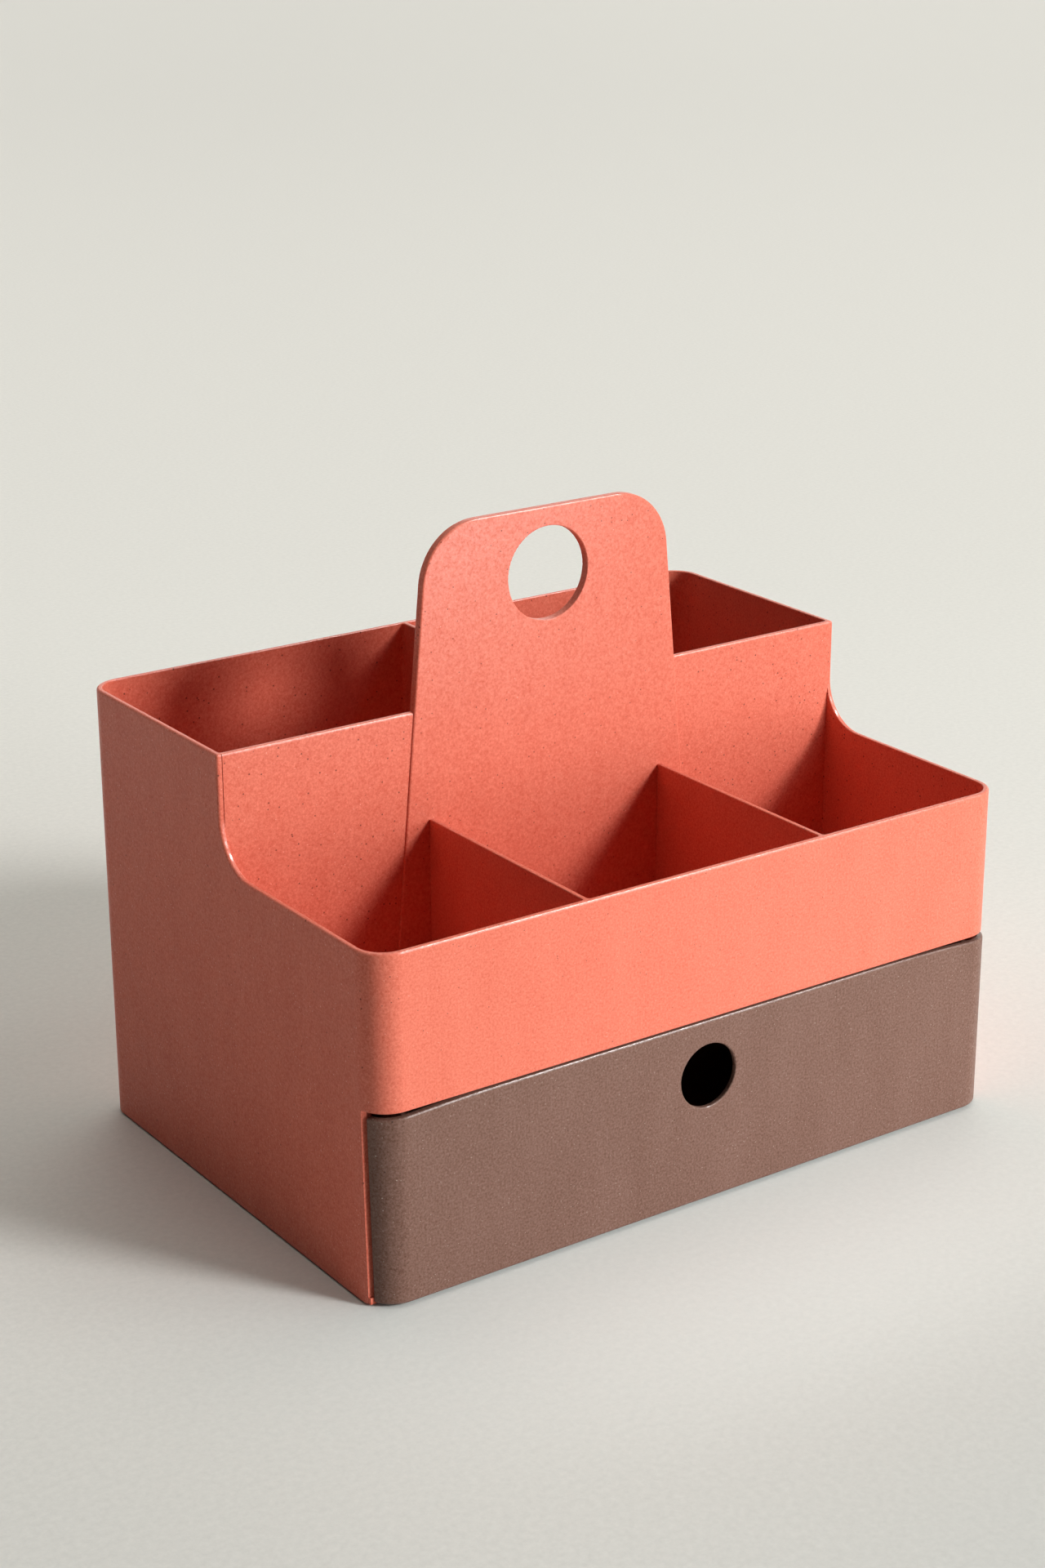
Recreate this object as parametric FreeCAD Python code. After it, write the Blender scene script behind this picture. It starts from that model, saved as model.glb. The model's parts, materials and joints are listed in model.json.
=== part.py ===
import FreeCAD, Part
import math
import os

os.makedirs("parts", exist_ok=True)
V = FreeCAD.Vector

# A desk organizer: an open caddy body in one moulding, a carrying panel with a hand hole that slides
# down into its middle wall, and a drawer below. +X runs along the front, +Y to the rear, +Z up.
# The origin is on the table, under the middle of the body. Millimetres.

# Body
length = 260.0              # over the side walls
depth = 184.0               # over the front and rear walls
rear_height = 160.0         # from the body's lower edge to the rear rim
front_height = 121.0        # from the body's lower edge to the front rim
wall = 2.0                  # outer walls and middle wall
corner_radius = 11.0        # outside of the vertical corners
step_radius = 17.0          # hollow curve where the side walls step down to the front rim
middle_front = -0.5         # Y of the middle wall's front face
middle_proud = 0.25         # this face in front of the side walls' ends above the curve
floor_thickness = 2.0       # floor of the compartments
divider_thickness = 1.8
divider_spacing = 97.6      # between the middles of the two front dividers
rear_divider_x = 0.0
pocket_radius = 1.0         # small inner corners of the compartments
pocket_floor_radius = 1.5   # where the compartment walls meet their floor
rim_outer_radius = 0.9
rim_inner_radius = 0.4

# Drawer bay, open to the front and below
bay_height = 67.4           # from the body's lower edge to the front wall's lower edge
front_lip = 2.8             # how far the front wall hangs below the compartment floor
mouth_setback = 7.4         # front of the body to the side walls' front edges, at their foot
mouth_slope = 1.2           # degrees that these edges lean back
lip_radius = 0.4            # lower edge of the front wall
post_diameter = 8.0         # screw posts, merged with the side walls; the tray runs between them
post_sink = 0.6             # depth of a post in its wall
front_post_inset = 18.0     # body's front to the middle of the front posts
rear_post_inset = 20.0      # body's rear to the middle of the rear posts
pilot_diameter = 2.5
pilot_depth = 14.0

# Carrying panel
panel_height = 222.9        # from the body's lower edge to the panel's top
panel_thickness = 3.4       # it stands out as far from the middle wall's rear as from its front
panel_top_half = 49.1       # half width at the top, where the side edges would meet it
panel_side_angle = 5.4      # degrees that the side edges lean
panel_radius = 22.0         # top corners
panel_edge_radius = 0.8
key_half = 50.0             # half width of the panel's core, which fills an opening in the middle wall
hand_hole_diameter = 33.0
hand_hole_drop = 23.3       # panel's top to the middle of the hole
hand_hole_radius = 0.4      # rounded edges of the hole
panel_fit = 0.1             # dividers' ends and middle wall to the panel
tab_spacing = 60.0          # between the middles of the two snap tabs
tab_width = 14.0
tab_thickness = 1.6         # thinned from behind, so that a tab can bend back as it snaps in
tab_fit = 0.15
tab_reach = 2.0             # tab below the compartment floor
barb_reach = 0.8            # barb in front of the panel's face
barb_gap = 0.1              # barb below the compartment floor
slit_width = 1.0            # slits beside a tab that let it bend
slit_height = 4.0

# Base plate, feet and screws
foot_proud = 0.8            # feet below the body's lower edge
foot_diameter = 12.0
foot_thickness = 1.5
foot_radius = 0.4
foot_fit = 0.15
foot_inset = 22.0           # outside of the body to the middle of a foot
plate_thickness = 2.2
plate_fit = 0.15            # plate to the walls
plate_lip = 0.8             # plate in front of the side walls' front edges
screw_diameter = 2.9
screw_length = 12.0
head_diameter = 5.8
head_height = 1.5
screw_fit = 0.2
recess_width = 0.7          # cross recess in a screw's head
recess_length = 3.2
recess_depth = 0.8
thread_pitch = 1.2

# Drawer
drawer_gap = 0.8            # drawer's top to the front wall's lower edge
joint_gap = 1.2             # side walls' front edges to the ends of the drawer's front
front_wall = 2.0            # drawer's front
front_clearance = 0.2       # drawer's front above the body's lower edge
crown_half = 76.0           # half of the level stretch of the drawer's top edge
crown_radius = 840.0        # curve by which the top edge falls from there to its ends
front_top_radius = 0.8
front_bottom_radius = 1.2
tray_drop = 2.0             # tray's rim below the drawer's top
tray_wall = 1.8
tray_floor = 1.8
tray_corner_radius = 6.0    # rear corners, outside
tray_front_radius = 1.2     # front corners, inside
tray_floor_radius = 2.0
tray_rim_radius = 0.4
guide_play = 1.5            # tray to a screw post, each side
drawer_lie = 1.0            # how far to the right of the middle the drawer lies in its play
rear_gap = 0.3              # tray to the rear wall when shut
skid_height = 1.0
skid_width = 3.0
skid_spacing = 180.0
skid_inset = 10.0           # ends of a skid to the front and rear of the tray
skid_gap = 0.3              # running gap under the skids
pull_diameter = 23.0
pull_drop = 20.2            # drawer's top to the middle of the pull hole
pull_radius = 0.5
drawer_travel = 135.0
stop_gap = 0.3              # tab to rib at full travel
stop_spacing = 160.0        # between the middles of the two stops
stop_width = 20.0
stop_thickness = 2.0
stop_reach = 2.2            # rib below the compartment floor
stop_tab_width = 14.0
stop_tab_gap = 0.9          # tab below the compartment floor

# Aids to modelling
over = 5.0                  # how far a cutting solid runs past what it cuts
tiny = 1e-3                 # play when edges are found by their place

# Levels and faces worked out from the sizes above
body_bottom = foot_proud
rear_rim = body_bottom + rear_height
front_rim = body_bottom + front_height
bay_top = body_bottom + bay_height
floor_bottom = bay_top + front_lip
floor_top = floor_bottom + floor_thickness
front_y = -depth / 2
rear_y = depth / 2
inner_x = length / 2 - wall
inner_radius = corner_radius - wall
middle_rear = middle_front + wall
step_back = middle_front + middle_proud
step_front = step_back - step_radius
panel_front = (middle_front + middle_rear - panel_thickness) / 2
panel_rear = panel_front + panel_thickness
panel_top = body_bottom + panel_height
post_x = inner_x + post_sink - post_diameter / 2
post_ys = (front_y + front_post_inset, rear_y - rear_post_inset)
plate_top = body_bottom + plate_thickness
foot_top = foot_thickness
foot_places = {
    "front_left": (-length / 2 + foot_inset, front_y + foot_inset),
    "front_right": (length / 2 - foot_inset, front_y + foot_inset),
    "rear_left": (-length / 2 + foot_inset, rear_y - foot_inset),
    "rear_right": (length / 2 - foot_inset, rear_y - foot_inset),
}
tray_half = post_x - post_diameter / 2 - guide_play
tray_rear = rear_y - wall - rear_gap
tray_bottom = plate_top + skid_gap + skid_height
drawer_top = bay_top - drawer_gap
tray_rim = drawer_top - tray_drop
drawer_bottom = body_bottom + front_clearance
drawer_inside = front_y + front_wall
stop_top = floor_bottom - stop_tab_gap
stop_xs = (-stop_spacing / 2, stop_spacing / 2)
tab_xs = (-tab_spacing / 2, tab_spacing / 2)


def rounded(points, radii):
    """A face with a corner at each point, rounded by the radius of the same place."""
    ends = []
    arcs = []
    for i, corner in enumerate(points):
        back = (points[i - 1] - corner).normalize()
        ahead = (points[(i + 1) % len(points)] - corner).normalize()
        half = back.getAngle(ahead) / 2
        reach = radii[i] / math.tan(half)
        start = corner + back * reach
        end = corner + ahead * reach
        ends.append((start, end))
        bisector = (back + ahead).normalize()
        middle = corner + bisector * (radii[i] / math.sin(half) - radii[i])
        arcs.append([Part.Arc(start, middle, end).toShape()] if radii[i] else [])
    edges = []
    for i, arc in enumerate(arcs):
        edges.append(Part.LineSegment(ends[i - 1][1], ends[i][0]).toShape())
        edges += arc
    return Part.Face(Part.Wire(edges))


def upright(x0, x1, y0, y1, z0, z1, radii=(0, 0, 0, 0)):
    """A block. The radii of its vertical corners run front left, front right, rear right, rear left."""
    points = [V(x0, y0, z0), V(x1, y0, z0), V(x1, y1, z0), V(x0, y1, z0)]
    return rounded(points, radii).extrude(V(0, 0, z1 - z0))


def across(profile, radii=None, half=length / 2 + over):
    """A solid of constant section: its (y, z) profile runs across the whole width."""
    points = [V(-half, y, z) for y, z in profile]
    return rounded(points, radii or [0] * len(points)).extrude(V(2 * half, 0, 0))


def same(a, b):
    """Whether two lengths are equal within the play."""
    return abs(a - b) < tiny


def level_edges(shape, z):
    """The edges of shape that lie at height z."""
    return [edge for edge in shape.Edges if same(edge.BoundBox.ZMin, z) and same(edge.BoundBox.ZMax, z)]


def mouth_y(z):
    """Y of the side walls' front edges at height z."""
    return front_y + mouth_setback + (z - body_bottom) * math.tan(math.radians(mouth_slope))


def panel_half(z):
    """Half of the carrying panel's width at height z."""
    return panel_top_half + (panel_top - z) * math.tan(math.radians(panel_side_angle))


def body_block():
    """The body's outside: a rounded block, cut down to the front rim along the stepped side profile."""
    corners = [corner_radius] * 4
    block = upright(-length / 2, length / 2, front_y, rear_y, body_bottom, rear_rim, corners)
    profile = [
        (front_y - over, body_bottom - over),
        (rear_y + over, body_bottom - over),
        (rear_y + over, rear_rim),
        (step_back, rear_rim),
        (step_back, front_rim),
        (front_y - over, front_rim),
    ]
    block = block.common(across(profile, [0, 0, 0, 0, step_radius, 0]))
    return block.makeFillet(rim_outer_radius, outer_rim_edges(block))


def outer_rim_edges(shape):
    """The outer edges of the rims and of the steps between them."""
    found = level_edges(shape, rear_rim)
    for edge in level_edges(shape, front_rim):
        box = edge.BoundBox
        if box.YMax < step_front - tiny:
            found.append(edge)
    for edge in shape.Edges:
        box = edge.BoundBox
        on_side = same(box.XLength, 0) and same(abs(box.Center.x), length / 2)
        if on_side and box.ZMin > front_rim - tiny and box.YMax < step_back + tiny:
            found.append(edge)
    return found


def inside_walls(box):
    """Whether a bounding box lies within the outer walls, or against their inner faces."""
    within_x = box.XMin > -inner_x - tiny and box.XMax < inner_x + tiny
    within_y = box.YMin > front_y + wall - tiny and box.YMax < rear_y - wall + tiny
    return within_x and within_y


def inner_rim_edges(shape):
    """The compartments' top edges, with the hollow curves of the steps along the side walls."""
    found = [edge for edge in level_edges(shape, front_rim) if inside_walls(edge.BoundBox)]
    for edge in level_edges(shape, rear_rim):
        if inside_walls(edge.BoundBox) and edge.BoundBox.YMin > middle_rear - tiny:
            found.append(edge)
    for edge in shape.Edges:
        box = edge.BoundBox
        slanted = box.ZLength > pocket_radius and box.YLength > pocket_radius + tiny
        if slanted and box.ZMin > front_rim - tiny and inside_walls(box):
            found.append(edge)
    return found


def pocket(x0, x1, y0, y1, radii):
    """One compartment, to be cut from the body."""
    space = upright(x0, x1, y0, y1, floor_top, rear_rim + over, radii)
    return space.makeFillet(pocket_floor_radius, level_edges(space, floor_top))


def middle_wall():
    """The wall between the front and rear compartments, rounded along its top front edge."""
    panel = upright(-inner_x, inner_x, middle_front, middle_rear, floor_bottom, rear_rim)
    front = [edge for edge in level_edges(panel, rear_rim) if same(edge.BoundBox.YMax, middle_front)]
    return panel.makeFillet(rim_outer_radius, front)


def compartments():
    """The three front and two rear compartments, the panel's room and the space over the dividers."""
    half = divider_thickness / 2
    front = front_y + wall
    rear = rear_y - wall
    edge = divider_spacing / 2
    small = pocket_radius
    big = inner_radius
    room = panel_half(floor_top) + panel_fit
    top = rear_rim + over
    return [
        pocket(-inner_x, -edge - half, front, middle_front, (big, small, 0, 0)),
        pocket(-edge + half, edge - half, front, middle_front, (small, small, 0, 0)),
        pocket(edge + half, inner_x, front, middle_front, (small, big, 0, 0)),
        pocket(-inner_x, rear_divider_x - half, middle_rear, rear, (small, 0, small, big)),
        pocket(rear_divider_x + half, inner_x, middle_rear, rear, (0, small, big, small)),
        upright(-key_half, key_half, panel_front - panel_fit, panel_rear + panel_fit, floor_top, top),
        upright(-room, room, panel_front - panel_fit, middle_front, floor_top, top),
        upright(-room, room, middle_rear, panel_rear + panel_fit, floor_top, top),
        upright(-inner_x, inner_x, step_front, middle_front, front_rim, top),
    ]


def bay_spaces():
    """The drawer bay and its mouth, to be cut from the body."""
    corners = [inner_radius] * 4
    low = body_bottom - over
    bay = upright(-inner_x, inner_x, front_y + wall, rear_y - wall, low, floor_bottom, corners)
    profile = [
        (front_y - over, low),
        (mouth_y(low), low),
        (mouth_y(bay_top), bay_top),
        (front_y - over, bay_top),
    ]
    return [bay, across(profile)]


def lip_edges(shape):
    """The lower edges of the front wall, over the drawer."""
    return [edge for edge in level_edges(shape, bay_top) if edge.BoundBox.XLength > edge.BoundBox.YLength]


def screw_places():
    """X and Y of the four screws."""
    return [(x, y) for x in (-post_x, post_x) for y in post_ys]


def posts():
    """The screw posts in the bay."""
    height = floor_bottom - plate_top
    return [Part.makeCylinder(post_diameter / 2, height, V(x, y, plate_top)) for x, y in screw_places()]


def pilots():
    """The pilot holes, to be cut from the screw posts."""
    start = plate_top - over
    height = pilot_depth + over
    return [Part.makeCylinder(pilot_diameter / 2, height, V(x, y, start)) for x, y in screw_places()]


def stop_ribs():
    """The ribs under the compartment floor that the drawer's stop tabs meet at full travel."""
    rear = tray_rear - tray_wall - drawer_travel - stop_gap
    front = rear - stop_thickness
    ribs = []
    for x in stop_xs:
        left = x - stop_width / 2
        ribs.append(upright(left, left + stop_width, front, rear, floor_bottom - stop_reach, floor_bottom))
    return ribs


def tab_slots():
    """The slots in the compartment floor for the carrying panel's tabs."""
    reach = tab_width / 2 + tab_fit
    front = panel_front - tab_fit
    return [
        upright(x - reach, x + reach, front, middle_rear, floor_bottom - over, floor_top + over)
        for x in tab_xs
    ]


def caddy_body():
    """Outer walls, middle wall, dividers and compartment floor in one moulding."""
    body = body_block().fuse(middle_wall()).cut(compartments()).removeSplitter()
    body = body.makeFillet(rim_inner_radius, inner_rim_edges(body))
    body = body.cut(bay_spaces())
    body = body.makeFillet(lip_radius, lip_edges(body))
    body = body.fuse(posts() + stop_ribs()).cut(pilots() + tab_slots())
    return body.removeSplitter().Solids[0]


def handle_panel():
    """The carrying panel: a tapered plate with a hand hole, grooved sides and two barbed tabs below."""
    foot = panel_half(floor_top)
    points = [
        V(-foot, panel_front, floor_top),
        V(foot, panel_front, floor_top),
        V(panel_top_half, panel_front, panel_top),
        V(-panel_top_half, panel_front, panel_top),
    ]
    panel = rounded(points, [0, 0, panel_radius, panel_radius]).extrude(V(0, panel_thickness, 0))
    outline = [e for e in panel.Edges if same(e.BoundBox.YLength, 0) and e.BoundBox.ZMax > floor_top + tiny]
    panel = panel.makeFillet(panel_edge_radius, outline)
    hole = hand_hole_diameter / 2
    middle = V(0, panel_front - over, panel_top - hand_hole_drop)
    panel = panel.cut(Part.makeCylinder(hole, panel_thickness + 2 * over, middle, V(0, 1, 0)))
    panel = panel.makeFillet(hand_hole_radius, ring_edges(panel, hole))
    panel = panel.cut(side_grooves())
    for x in tab_xs:
        panel = panel.cut(tab_reliefs(x)).fuse(snap_tab(x))
    return panel.removeSplitter().Solids[0]


def side_grooves():
    """The grooves in the panel's side edges, which take the edges of the opening in the middle wall."""
    inner = key_half - panel_fit
    outer = length / 2
    front = middle_front - panel_fit
    rear = middle_rear + panel_fit
    top = rear_rim + panel_fit
    return [upright(x0, x1, front, rear, floor_top, top) for x0, x1 in ((-outer, -inner), (inner, outer))]


def ring_edges(shape, radius):
    """The full circles of the given radius that face front or rear."""
    found = []
    for edge in shape.Edges:
        box = edge.BoundBox
        if same(box.YLength, 0) and same(box.XLength, 2 * radius) and same(box.ZLength, 2 * radius):
            found.append(edge)
    return found


def tab_reliefs(x):
    """What frees a snap tab from the panel: a slit on each side and the space behind it."""
    half = tab_width / 2
    rear = panel_rear + over
    top = floor_top + slit_height
    reliefs = [upright(x - half, x + half, panel_front + tab_thickness, rear, floor_top, top)]
    for left in (x - half - slit_width, x + half):
        reliefs.append(upright(left, left + slit_width, panel_front - over, rear, floor_top, top))
    return reliefs


def snap_tab(x):
    """A tab with a barb on its front, in a floor slot."""
    top = floor_top + slit_height
    low = floor_bottom - tab_reach
    barb = floor_bottom - barb_gap
    rear = panel_front + tab_thickness
    profile = [
        (panel_front, top),
        (panel_front, barb),
        (panel_front - barb_reach, barb),
        (panel_front, low),
        (rear, low),
        (rear, top),
    ]
    tab = across(profile, half=tab_width / 2)
    tab.translate(V(x, 0, 0))
    return tab


def base_plate():
    """The plate that closes the bay from below, with a narrow lip in front of the side walls."""
    reach = inner_x - plate_fit
    rear = rear_y - wall - plate_fit
    corners = [inner_radius - plate_fit] * 4
    lip_front = mouth_y(body_bottom) - plate_lip
    inside = upright(-reach, reach, front_y + wall + plate_fit, rear, body_bottom, plate_top, corners)
    plate = inside.common(upright(-length, length, lip_front, rear + over, body_bottom, plate_top))
    outside = upright(-length / 2, length / 2, front_y, rear_y, body_bottom, plate_top, [corner_radius] * 4)
    lip_rear = mouth_y(body_bottom) - plate_fit
    lip = outside.common(upright(-length, length, lip_front, lip_rear, body_bottom, plate_top))
    plate = plate.fuse(lip).removeSplitter()
    hole = screw_diameter / 2 + screw_fit
    for x, y in screw_places():
        shaft = Part.makeCylinder(hole, plate_thickness, V(x, y, body_bottom))
        plate = plate.cut([shaft, screw_head(x, y)])
    recess = foot_diameter / 2 + foot_fit
    for x, y in foot_places.values():
        plate = plate.cut(Part.makeCylinder(recess, foot_top - body_bottom, V(x, y, body_bottom)))
    return plate.Solids[0]


def screw_head(x, y):
    """A countersunk head, flush with the plate's underside."""
    return Part.makeCone(head_diameter / 2, screw_diameter / 2, head_height, V(x, y, body_bottom))


def screw_shank(x, y):
    """The threaded shank, as ridges around its core, with a pointed end."""
    core = pilot_diameter / 2
    crest = screw_diameter / 2
    end = screw_length - screw_diameter
    points = [V(0, 0, head_height), V(crest, 0, head_height), V(crest, 0, plate_thickness)]
    for i in range(int((end - plate_thickness) / thread_pitch)):
        low = plate_thickness + i * thread_pitch
        points.append(V(core, 0, low + thread_pitch / 4))
        points.append(V(core, 0, low + thread_pitch / 2))
        points.append(V(crest, 0, low + thread_pitch))
    points += [V(core, 0, end), V(0, 0, screw_length)]
    shank = Part.Face(Part.makePolygon(points + points[:1])).revolve(V(0, 0, 0), V(0, 0, 1), 360)
    shank.translate(V(x, y, body_bottom))
    return shank


def base_screws():
    """The four countersunk self-tapping screws that hold the plate to the body."""
    screws = []
    for x, y in screw_places():
        screw = screw_head(x, y).fuse(screw_shank(x, y))
        for long, wide in ((recess_length, recess_width), (recess_width, recess_length)):
            arm = Part.makeBox(long, wide, recess_depth, V(x - long / 2, y - wide / 2, body_bottom))
            screw = screw.cut(arm)
        screws.append(screw.removeSplitter().Solids[0])
    return Part.makeCompound(screws)


def foot(x, y):
    """A round pad in its recess in the base plate."""
    pad = Part.makeCylinder(foot_diameter / 2, foot_thickness, V(x, y, 0))
    return pad.makeFillet(foot_radius, level_edges(pad, 0))


def crown():
    """What lies under the drawer's top edge: level in the middle, falling along a curve to each end."""
    end = length / 2 + over
    turn = math.asin((end - crown_half) / crown_radius)
    drop = crown_radius * (1 - math.cos(turn))
    half_turn = turn / 2
    middle_x = crown_half + crown_radius * math.sin(half_turn)
    middle_drop = crown_radius * (1 - math.cos(half_turn))
    y = front_y - over

    def place(x, fall):
        return V(x, y, drawer_top - fall)

    low = drawer_top - drawer_bottom + over
    edges = [
        Part.LineSegment(place(-crown_half, 0), place(crown_half, 0)),
        Part.Arc(place(crown_half, 0), place(middle_x, middle_drop), place(end, drop)),
        Part.LineSegment(place(end, drop), place(end, low)),
        Part.LineSegment(place(end, low), place(-end, low)),
        Part.LineSegment(place(-end, low), place(-end, drop)),
        Part.Arc(place(-end, drop), place(-middle_x, middle_drop), place(-crown_half, 0)),
    ]
    face = Part.Face(Part.Wire([edge.toShape() for edge in edges]))
    return face.extrude(V(0, depth, 0))


def at_front(edge):
    """Whether an edge lies on the front face or on the corners beside it."""
    return edge.BoundBox.YMax < front_y + corner_radius + tiny


def front_shell():
    """The drawer's front, whose ends wrap around the body's corners."""
    corners = [corner_radius] * 4
    shell = upright(-length / 2, length / 2, front_y, rear_y, drawer_bottom, drawer_top, corners)
    shell = shell.common(crown())
    bottom = [e for e in level_edges(shell, drawer_bottom) if at_front(e)]
    shell = shell.makeFillet(front_bottom_radius, bottom)
    top = [e for e in shell.Edges if at_front(e) and e.BoundBox.ZMin > drawer_top - corner_radius]
    shell = shell.makeFillet(front_top_radius, top)
    low = drawer_bottom - over
    profile = [
        (front_y - over, low),
        (mouth_y(low) - joint_gap, low),
        (mouth_y(bay_top) - joint_gap, bay_top),
        (front_y - over, bay_top),
    ]
    shell = shell.common(across(profile))
    inside = length / 2 - front_wall
    corners = [corner_radius - front_wall] * 4
    return shell.cut(upright(-inside, inside, drawer_inside, rear_y, low, bay_top, corners))


def tray():
    """The drawer's box behind its front."""
    big = tray_corner_radius
    small = big - tray_wall
    tight = tray_front_radius
    front = drawer_inside - front_wall / 2
    box = upright(-tray_half, tray_half, front, tray_rear, tray_bottom, tray_rim, (0, 0, big, big))
    reach = tray_half - tray_wall
    low = tray_bottom + tray_floor
    rear = tray_rear - tray_wall
    space = upright(-reach, reach, drawer_inside, rear, low, tray_rim + over, (tight, tight, small, small))
    box = box.cut(space.makeFillet(tray_floor_radius, level_edges(space, low)))
    rim = [e for e in level_edges(box, tray_rim) if e.BoundBox.YMax > drawer_inside + tiny]
    return box.makeFillet(tray_rim_radius, rim)


def tray_fittings():
    """The stop tabs on the tray's rear wall and the skids under it."""
    fittings = []
    front = tray_rear - tray_wall
    for x in stop_xs:
        left = x - stop_tab_width / 2
        fittings.append(upright(left, left + stop_tab_width, front, tray_rear, tray_rim - over, stop_top))
    front = drawer_inside + skid_inset
    rear = tray_rear - skid_inset
    for x in (-skid_spacing / 2, skid_spacing / 2):
        left = x - skid_width / 2
        low = tray_bottom - skid_height
        fittings.append(upright(left, left + skid_width, front, rear, low, tray_bottom))
    return fittings


def drawer():
    """The drawer in one moulding, where it lies in its play."""
    whole = front_shell().fuse([tray()] + tray_fittings())
    hole = pull_diameter / 2
    middle = V(0, front_y - over, drawer_top - pull_drop)
    whole = whole.cut(Part.makeCylinder(hole, front_wall + 2 * over, middle, V(0, 1, 0))).removeSplitter()
    whole = whole.makeFillet(pull_radius, ring_edges(whole, hole))
    whole.translate(V(drawer_lie, 0, 0))
    return whole.Solids[0]


nodes = {
    "caddy_body": caddy_body(),
    "handle_panel": handle_panel(),
    "base_plate": base_plate(),
    "base_screws": base_screws(),
    "drawer": drawer(),
}
for place, (x, y) in foot_places.items():
    nodes["foot_" + place] = foot(x, y)
for name, shape in nodes.items():
    shape.exportStep(f"parts/{name}.step")
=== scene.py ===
import json
import math

import bpy
import numpy as np
from mathutils import Matrix, Vector

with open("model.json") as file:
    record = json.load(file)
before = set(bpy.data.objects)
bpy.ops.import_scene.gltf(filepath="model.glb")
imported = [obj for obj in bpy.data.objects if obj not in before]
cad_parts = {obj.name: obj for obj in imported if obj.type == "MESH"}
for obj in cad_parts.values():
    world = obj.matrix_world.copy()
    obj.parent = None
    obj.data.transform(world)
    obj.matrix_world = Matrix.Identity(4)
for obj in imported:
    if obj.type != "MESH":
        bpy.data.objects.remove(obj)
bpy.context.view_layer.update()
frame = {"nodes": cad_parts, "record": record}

# Camera: where it stands and how it is turned
camera_place = Vector((-0.53823, -0.75466, 0.45798))
camera_yaw = math.radians(34.979)
camera_pitch = math.radians(19.826)
camera_roll = math.radians(-0.169)
camera_lens = 64.742
camera_film = 36.0

# Colours of the moulded composites, their flecks, the small parts and the studio
coral_deep = (0.610, 0.106, 0.059)
coral_light = (0.815, 0.218, 0.143)
coral_pale = (0.900, 0.420, 0.330)
coral_husk = (0.180, 0.035, 0.022)
taupe_deep = (0.114, 0.046, 0.028)
taupe_light = (0.236, 0.130, 0.102)
taupe_pale = (0.520, 0.400, 0.340)
taupe_husk = (0.060, 0.028, 0.022)
rubber = (0.030, 0.029, 0.028)
rubber_worn = (0.075, 0.072, 0.070)
zinc = (0.560, 0.570, 0.590)
zinc_dull = (0.440, 0.450, 0.480)
paper = (0.970, 0.941, 0.886)
black = (0.0, 0.0, 0.0)
white = (1.0, 1.0, 1.0)

# Noises. Each: the size of its patches in metres, its detail, and the roughness of the detail.
streak_noise = (0.012, 2.0)
mottle_noise = (0.0030, 3.0, 0.6)
grain_noise = (0.0008, 2.0, 0.7)
swell_noise = (0.0060, 1.0)         # the slight waves of moulded faces
rubber_noise = (0.0006, 3.0, 0.6)
wear_noise = (0.0040, 2.0)
zinc_noise = (0.0012, 3.0, 0.6)
paper_noise = (0.0025, 3.0, 0.7)
streak_stretch = (1.0, 1.0, 0.3)    # the streaks run up and down
noise_middle = 0.5
noise_span = (0.3, 0.7)             # most values of a noise lie between these
coat_span = (0.30, 0.60)
wear_span = (0.35, 0.75)

# Specks. Each: the size of its cells, the share of the cells that hold one, and its largest radius.
coral_husks = (0.0022, 0.32, 0.00045)
coral_flecks = (0.0013, 0.08, 0.00032)
taupe_husks = (0.0022, 0.10, 0.00045)
taupe_flecks = (0.0013, 0.30, 0.00032)
least_speck = 0.4                   # radius of the smallest, as a share of the largest
speck_heart = 0.5                   # share of the radius at which a speck is full

# How much each pattern counts in the colour
streak_share = 0.30
mottle_share = 0.2
grain_share = 1.9
husk_share = 0.9
fleck_share = 0.65
wear_share = 0.35
paper_share = 0.16

# Surfaces: from the lowest to the highest values of the pattern, and the depth of bumps in metres
composite_rough = (0.50, 0.60)
composite_coat = (0.15, 0.40)
composite_ior = 1.5
composite_shine = 0.1
coat_rough = 0.21
husk_rough = 0.1                    # what a husk adds
rubber_rough = (0.70, 0.85)
zinc_rough = (0.26, 0.42)
paper_rough = 0.9
paper_shine = 0.2
grain_depth = 0.00005
mottle_height = 0.5                 # beside the grain's
swell_depth = 0.00006
zinc_depth = 0.00002

# Studio. Each far light: degrees from straight ahead of the object towards its right, degrees above
# the floor, degrees that it spans, and strength.
floor_reach = 12.0
far_lights = {
    "key_light": (34, 27, 14, 2.20),
    "side_fill": (62, 40, 20, 0.20),
    "rear_fill": (135, 10, 50, 0.70),
    "top_fill_right": (135, 70, 50, 1.12),
    "top_fill_left": (225, 70, 50, 0.27),
}
glint = (57, 50, 8, 5.0)            # seen in glossy reflections only: the line along the rims
fill_colour = (0.985, 1.0, 0.95)
object_middle = Vector((0, 0, 0.1))
box_yaw = 25                        # the soft box near the object, in the same degrees
box_height = 5
box_distance = 0.64
box_size = 0.34
box_power = 2.7
box_colour = (0.92, 1.03, 1.05)
sky_light = (0.0090, 0.0089, 0.0087)  # the faint even light that the sky gives
far_backdrop = (0.700, 0.686, 0.637)  # the sky as it looks beyond the floor

# The floor's painted shades: darker paper that stands in for the fall of light over the floor.
# Each: the metres at which it is full and at which it ends, and how dark.
painted_near_shade = (-0.4, 0.6, 0.22)      # along the way that the camera looks
painted_far_shade = (3.6, 1.0, 0.06)
painted_left_shade = (-0.5, 0.6, 0.04)      # from the camera's left to its right
painted_box_shade = (0.24, 0.62, 0.43)      # painted shade around the spot below the soft box, against the box's pool of light

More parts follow.
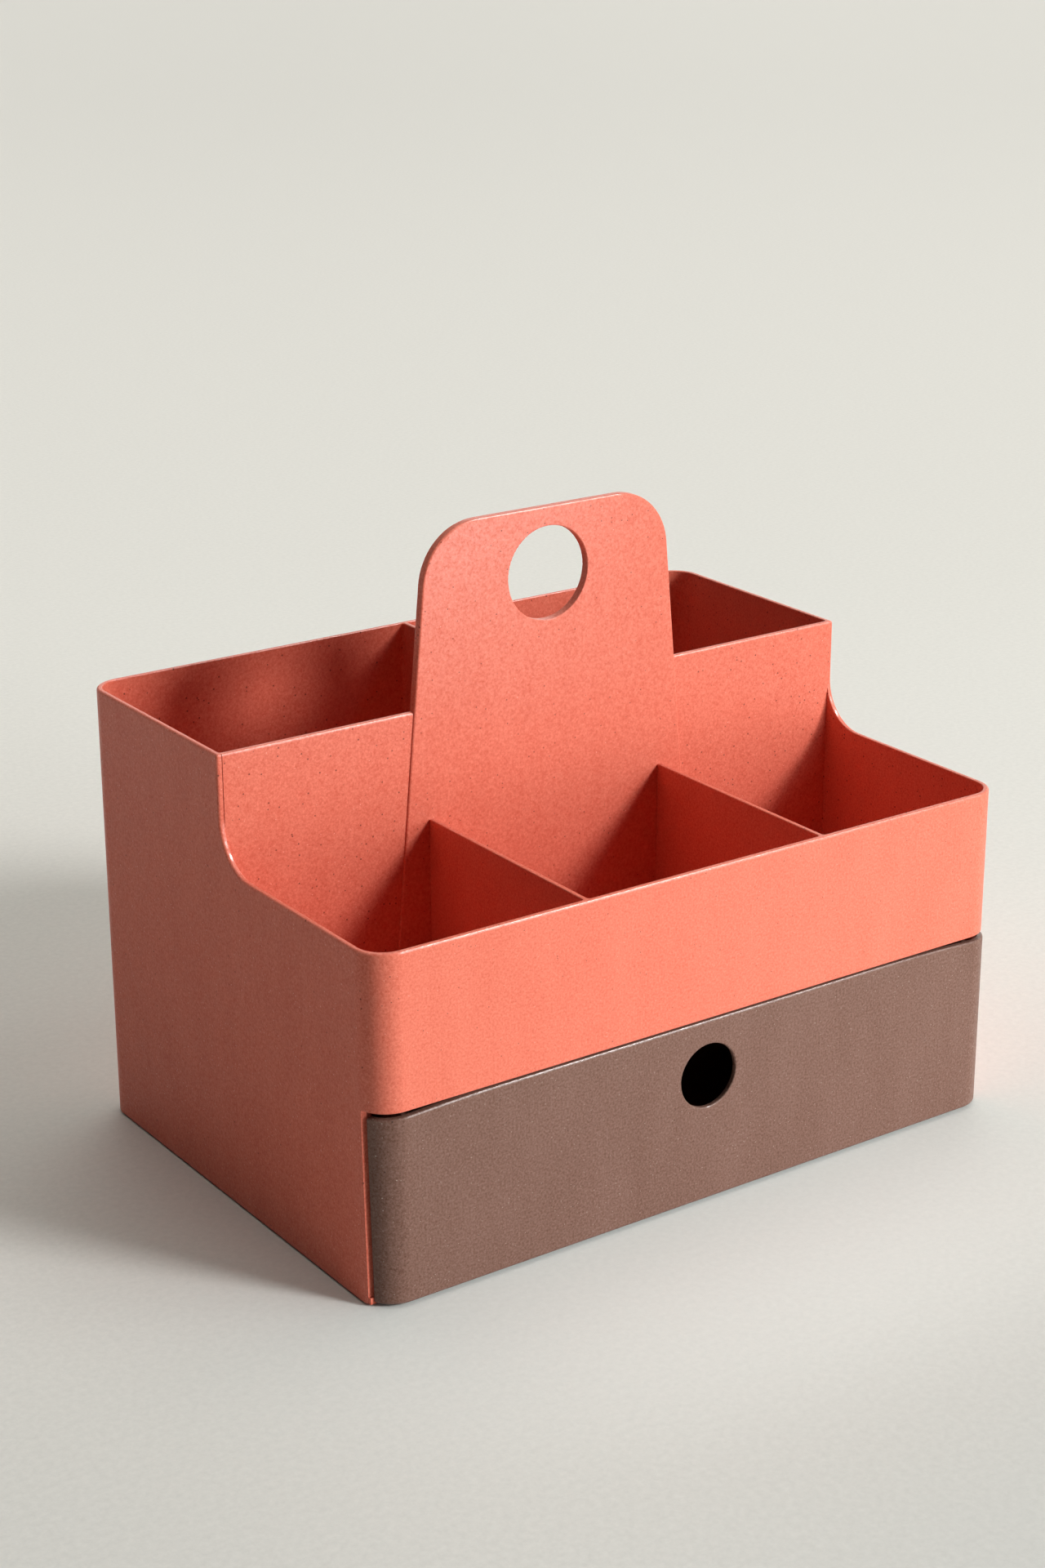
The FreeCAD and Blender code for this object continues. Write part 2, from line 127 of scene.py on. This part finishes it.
# A painted oval patch of lighter, cooler light on the floor beside the drawer's foot, which cancels
# the shade and the red bounce light there
painted_foot_light = (0.86, 0.97, 0.96)
foot_middle = (-0.02, -0.1, 0.0)
foot_stretch = (6.0, 9.0, 1.0)      # distances along each axis count this many times
painted_foot_light_fade = (0.3, 1.3, 0.25)        # as for a painted shade, in such distances

crease = math.radians(35)           # faces that meet at less than this look like one smooth surface
least_length = 1e-20                # keeps a normal of no length from being divided by zero


class Value:
    """One output of a shader node. Arithmetic on it adds Math nodes."""

    def __init__(self, graph, socket):
        self.graph = graph
        self.socket = socket

    def math(self, operation, first, second):
        return self.graph.node("ShaderNodeMath", {"operation": operation}, {0: first, 1: second})

    def __add__(self, other):
        return self.math("ADD", self, other)

    def __radd__(self, other):
        return self.math("ADD", other, self)

    def __sub__(self, other):
        return self.math("SUBTRACT", self, other)

    def __rsub__(self, other):
        return self.math("SUBTRACT", other, self)

    def __mul__(self, other):
        return self.math("MULTIPLY", self, other)

    def __rmul__(self, other):
        return self.math("MULTIPLY", other, self)

    def __truediv__(self, other):
        return self.math("DIVIDE", self, other)

    def __rtruediv__(self, other):
        return self.math("DIVIDE", other, self)

    def __lt__(self, other):
        return self.math("LESS_THAN", self, other)


class Graph:
    """The nodes of one material or of the world."""

    def __init__(self, owner):
        owner.use_nodes = True
        self.tree = owner.node_tree
        self.tree.nodes.clear()

    def node(self, kind, settings=None, sockets=None, output=0):
        """Makes a node, sets or links its sockets, and gives one of its outputs."""
        node = self.tree.nodes.new(kind)
        for name, value in (settings or {}).items():
            setattr(node, name, value)
        for name, value in (sockets or {}).items():
            if isinstance(value, Value):
                self.tree.links.new(value.socket, node.inputs[name])
            elif isinstance(value, tuple) and node.inputs[name].type == "RGBA":
                node.inputs[name].default_value = (*value, 1.0)
            else:
                node.inputs[name].default_value = value
        return Value(self, node.outputs[output]) if node.outputs else None

    def place(self):
        """Where a point lies on the object, in metres."""
        return self.node("ShaderNodeTexCoord", output="Object")

    def noise(self, place, size, detail=2.0, roughness=0.5):
        """Noise from 0 to 1, whose patches are about size metres across."""
        sockets = {"Vector": place, "Scale": 1 / size, "Detail": detail, "Roughness": roughness}
        return self.node("ShaderNodeTexNoise", None, sockets)

    def across(self, place):
        """The three coordinates of a place."""
        sockets = {"Vector": place}
        return [self.node("ShaderNodeSeparateXYZ", None, sockets, axis) for axis in "XYZ"]

    def stretch(self, place, factors):
        """A place whose coordinates are multiplied by three factors."""
        sockets = {0: place, 1: factors}
        return self.node("ShaderNodeVectorMath", {"operation": "MULTIPLY"}, sockets)

    def distance(self, place, spot):
        """How far a place is from a fixed spot."""
        sockets = {0: place, 1: spot}
        return self.node("ShaderNodeVectorMath", {"operation": "DISTANCE"}, sockets, "Value")

    def ramp(self, value, low, high, start=0.0, end=1.0):
        """A value taken from low..high to start..end, and held there beyond."""
        sockets = {"Value": value, "From Min": low, "From Max": high, "To Min": start}
        sockets["To Max"] = end
        return self.node("ShaderNodeMapRange", {"interpolation_type": "SMOOTHSTEP"}, sockets)

    def blend(self, factor, first, second):
        """A colour between two colours."""
        sockets = {0: factor, 6: first, 7: second}
        return self.node("ShaderNodeMix", {"data_type": "RGBA"}, sockets, 2)

    def specks(self, place, cell, share, radius):
        """Specks of up to this radius, in a share of the cells: 1 on a speck, 0 beside it."""
        sockets = {"Vector": place, "Scale": 1 / cell}
        distance = self.node("ShaderNodeTexVoronoi", None, sockets, "Distance")
        colour = self.node("ShaderNodeTexVoronoi", None, sockets, "Color")
        luck = self.node("ShaderNodeSeparateColor", None, {"Color": colour}, "Red")
        size = self.node("ShaderNodeSeparateColor", None, {"Color": colour}, "Green")
        edge = (least_speck + (1 - least_speck) * size) * (radius / cell)
        return self.ramp(distance / edge, 1.0, speck_heart) * (luck < share)

    def bump(self, height, depth, normal=None):
        """The normal of a surface whose height from 0 to 1 stands for this depth in metres."""
        sockets = {"Height": height, "Distance": depth}
        if normal:
            sockets["Normal"] = normal
        return self.node("ShaderNodeBump", None, sockets)


def material(name, build):
    """A material whose shader is made by a function of its graph."""
    made = bpy.data.materials.new(name)
    graph = Graph(made)
    graph.node("ShaderNodeOutputMaterial", None, {"Surface": build(graph)})
    return made


def composite(deep, light, pale, husk, husks, flecks):
    """The shader of a moulded fibre-filled plastic: streaks, mottle and grain, flecks and husks."""
    def build(graph):
        place = graph.place()
        streaks = graph.noise(graph.stretch(place, streak_stretch), *streak_noise)
        mottle = graph.noise(place, *mottle_noise)
        grain = graph.noise(place, *grain_noise)
        dark_specks = graph.specks(place, *husks)
        pale_specks = graph.specks(place, *flecks)
        tone = (grain - noise_middle) * grain_share + (mottle - noise_middle) * mottle_share
        tone = tone + (streaks - noise_middle) * streak_share + 0.5
        colour = graph.blend(tone, deep, light)
        colour = graph.blend(pale_specks * fleck_share, colour, pale)
        colour = graph.blend(dark_specks * husk_share, colour, husk)
        rough = graph.ramp(mottle, *noise_span, *composite_rough)
        swell = graph.bump(graph.noise(place, *swell_noise), swell_depth)
        return graph.node("ShaderNodeBsdfPrincipled", None, {
            "Base Color": colour,
            "Roughness": rough + dark_specks * husk_rough,
            "IOR": composite_ior,
            "Specular IOR Level": composite_shine,
            "Normal": graph.bump(grain + mottle * mottle_height, grain_depth, swell),
            "Coat Weight": graph.ramp(grain, *coat_span, *composite_coat),
            "Coat Roughness": coat_rough,
        })
    return build


def rubber_pad(graph):
    """The shader of the feet: matt black rubber with a fine grain."""
    place = graph.place()
    grain = graph.noise(place, *rubber_noise)
    worn = graph.noise(place, *wear_noise)
    return graph.node("ShaderNodeBsdfPrincipled", None, {
        "Base Color": graph.blend(graph.ramp(worn, *wear_span) * wear_share, rubber, rubber_worn),
        "Roughness": graph.ramp(grain, *noise_span, *rubber_rough),
        "Normal": graph.bump(grain, grain_depth),
    })


def zinc_plate(graph):
    """The shader of the screws: zinc-plated steel with a slightly cloudy plating."""
    place = graph.place()
    cloud = graph.noise(place, *zinc_noise)
    return graph.node("ShaderNodeBsdfPrincipled", None, {
        "Base Color": graph.blend(graph.ramp(cloud, *noise_span), zinc, zinc_dull),
        "Roughness": graph.ramp(cloud, *noise_span, *zinc_rough),
        "Metallic": 1.0,
        "Normal": graph.bump(cloud, zinc_depth),
    })


def backdrop_paper(graph):
    """The shader of the studio floor: pale matt paper with painted soft shades and a painted
    lighter patch.
    """
    # A share of painted shade, or of the painted lighter patch, that fades from full to nothing.
    def painted_share(value, settings):
        full, end, share = settings
        return graph.ramp(value, full, end, share, 0.0)

    place = graph.place()
    x, y, _ = graph.across(place)
    ahead = x * math.sin(camera_yaw) + y * math.cos(camera_yaw)
    right = x * math.cos(camera_yaw) - y * math.sin(camera_yaw)
    # Painted shade: darker paper towards the camera, far away and on the left, plus the paper's own
    # grain.
    painted_shade_and_grain = painted_share(ahead, painted_near_shade) + painted_share(ahead, painted_far_shade) + painted_share(right, painted_left_shade)
    painted_shade_and_grain = painted_shade_and_grain + graph.noise(place, *paper_noise) * paper_share
    colour = graph.blend(painted_shade_and_grain, paper, black)
    # Painted shade below the soft box, which cancels part of its pool of light on the floor.
    yaw = math.radians(box_yaw)
    below_box = (box_distance * math.sin(yaw), -box_distance * math.cos(yaw), 0.0)
    colour = graph.blend(painted_share(graph.distance(place, below_box), painted_box_shade), colour, black)
    # Painted lighter, cooler patch beside the drawer's foot, which cancels the shade and red bounce
    # light there.
    middle = tuple(spot * factor for spot, factor in zip(foot_middle, foot_stretch))
    from_foot = graph.distance(graph.stretch(place, foot_stretch), middle)
    colour = graph.blend(painted_share(from_foot, painted_foot_light_fade), colour, painted_foot_light)
    return graph.node("ShaderNodeBsdfPrincipled", None, {
        "Base Color": colour,
        "Roughness": paper_rough,
        "Specular IOR Level": paper_shine,
    })


def smooth(piece):
    """Rounds the shading of a piece over all faces that meet at less than the crease angle."""
    mesh = piece.data
    mesh.polygons.foreach_set("use_smooth", [True] * len(mesh.polygons))
    spots = np.empty(3 * len(mesh.vertices))
    mesh.vertices.foreach_get("co", spots)
    corner_vertex = np.empty(len(mesh.loops), int)
    mesh.loops.foreach_get("vertex_index", corner_vertex)
    corner_counts = np.empty(len(mesh.polygons), int)
    mesh.polygons.foreach_get("loop_total", corner_counts)
    face_normals = np.empty(3 * len(mesh.polygons))
    mesh.polygons.foreach_get("normal", face_normals)
    areas = np.empty(len(mesh.polygons))
    mesh.polygons.foreach_get("area", areas)
    face_normals = face_normals.reshape(-1, 3)
    corner_face = np.repeat(np.arange(len(mesh.polygons)), corner_counts)
    microns = np.round(spots.reshape(-1, 3)[corner_vertex] * 1e6).astype(int)
    _, spot = np.unique(microns, axis=0, return_inverse=True)
    order = np.argsort(spot.ravel(), kind="stable")
    starts = np.flatnonzero(np.diff(spot.ravel()[order], prepend=-1))
    normals = np.zeros((len(mesh.loops), 3))
    for corners in np.split(order, starts[1:]):
        own = face_normals[corner_face[corners]]
        near = own @ own.T > math.cos(crease)
        normals[corners] = near @ (own * areas[corner_face[corners], None])
    lengths = np.linalg.norm(normals, axis=1, keepdims=True)
    mesh.normals_split_custom_set(normals / np.maximum(lengths, least_length))


def dress(node, finish):
    """Gives a CAD piece its material and its smooth shading."""
    piece = frame["nodes"][node]
    piece.data.materials.clear()
    piece.data.materials.append(finish)
    smooth(piece)


def dress_all():
    """Dresses every CAD piece by its material slot."""
    coral = composite(coral_deep, coral_light, coral_pale, coral_husk, coral_husks, coral_flecks)
    taupe = composite(taupe_deep, taupe_light, taupe_pale, taupe_husk, taupe_husks, taupe_flecks)
    finishes = {
        "coral_composite": material("coral_composite", coral),
        "taupe_composite": material("taupe_composite", taupe),
        "foot_rubber": material("foot_rubber", rubber_pad),
        "screw_steel": material("screw_steel", zinc_plate),
    }
    for part in frame["record"]["subparts"]:
        dress(part["node"], finishes[part["material_slot"]])


def studio_floor():
    """The pale floor under the object, as far as the camera sees."""
    mesh = bpy.data.meshes.new("studio_floor")
    corners = [(-floor_reach, -floor_reach, 0), (floor_reach, -floor_reach, 0)]
    corners += [(floor_reach, floor_reach, 0), (-floor_reach, floor_reach, 0)]
    mesh.from_pydata(corners, [], [(0, 1, 2, 3)])
    mesh.materials.append(material("backdrop_paper", backdrop_paper))
    floor = bpy.data.objects.new("studio_floor", mesh)
    bpy.context.scene.collection.objects.link(floor)


def put_light(lamp, yaw, height, distance=0.0):
    """Puts a lamp where it shines on the object from this side and height."""
    light = bpy.data.objects.new(lamp.name, lamp)
    turn = Matrix.Rotation(math.radians(yaw), 3, "Z")
    turn = turn @ Matrix.Rotation(math.radians(90 - height), 3, "X")
    light.rotation_euler = turn.to_euler()
    light.location = object_middle + turn @ Vector((0, 0, distance))
    bpy.context.scene.collection.objects.link(light)


def lights():
    """The far lights, the soft box near the object and a faint even sky."""
    for name, (yaw, height, span, strength) in {**far_lights, "glint": glint}.items():
        lamp = bpy.data.lights.new(name, "SUN")
        lamp.energy = strength
        lamp.angle = math.radians(span)
        lamp.color = fill_colour if "fill" in name else white
        put_light(lamp, yaw, height)
    bpy.data.objects["glint"].visible_diffuse = False
    box = bpy.data.lights.new("soft_box", "AREA")
    box.shape = "DISK"
    box.size = box_size
    box.energy = box_power
    box.color = box_colour
    put_light(box, box_yaw, box_height, box_distance)
    world = bpy.data.worlds.new("studio_sky")
    bpy.context.scene.world = world
    graph = Graph(world)
    seen = graph.node("ShaderNodeLightPath", output="Is Camera Ray")
    for ray in ("Is Glossy Ray", "Is Transmission Ray"):
        seen = seen + graph.node("ShaderNodeLightPath", output=ray)
    colour = graph.blend(seen, sky_light, far_backdrop)
    sky = graph.node("ShaderNodeBackground", None, {"Color": colour, "Strength": 1.0})
    graph.node("ShaderNodeOutputWorld", None, {"Surface": sky})


def camera():
    """The camera, by its place and turn."""
    lens = bpy.data.cameras.new("camera")
    lens.lens = camera_lens
    lens.sensor_width = camera_film
    lens.clip_end = 4 * floor_reach
    view = bpy.data.objects.new("camera", lens)
    ahead = Vector((
        math.sin(camera_yaw) * math.cos(camera_pitch),
        math.cos(camera_yaw) * math.cos(camera_pitch),
        -math.sin(camera_pitch),
    ))
    turn = ahead.to_track_quat("-Z", "Y").to_matrix() @ Matrix.Rotation(camera_roll, 3, "Z")
    view.matrix_world = Matrix.Translation(camera_place) @ turn.to_4x4()
    bpy.context.scene.collection.objects.link(view)
    bpy.context.scene.camera = view


dress_all()
studio_floor()
lights()
camera()
bpy.context.scene.view_settings.view_transform = "Standard"
